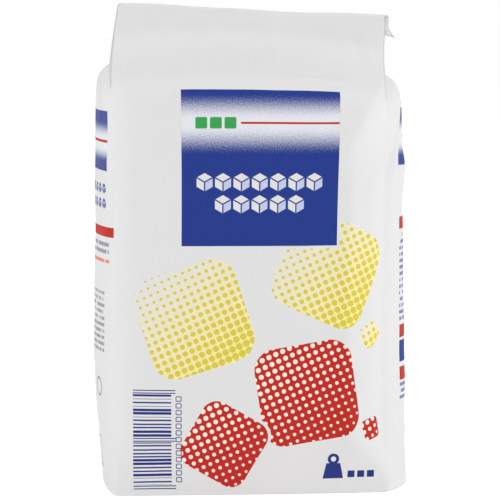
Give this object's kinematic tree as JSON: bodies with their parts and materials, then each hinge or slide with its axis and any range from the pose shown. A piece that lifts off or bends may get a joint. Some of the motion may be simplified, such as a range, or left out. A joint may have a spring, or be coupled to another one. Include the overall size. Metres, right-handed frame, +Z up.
{
  "type": "sugar packet",
  "caption": "Filled and shut paper packet of white sugar, with side gussets, a block bottom and an upright neck folded over at the top.",
  "frame": {"origin": "middle of the packet's box, on the surface that it stands on", "axes": "+Z up through the neck, +Y from the front panel to the back panel, +X to the right as seen from the front"},
  "size_m": [0.121, 0.0678, 0.1881],
  "materials": {
    "paper": "matte"
  },
  "bodies": {
    "root": {"packet": "paper"}
  },
  "joints": []
}
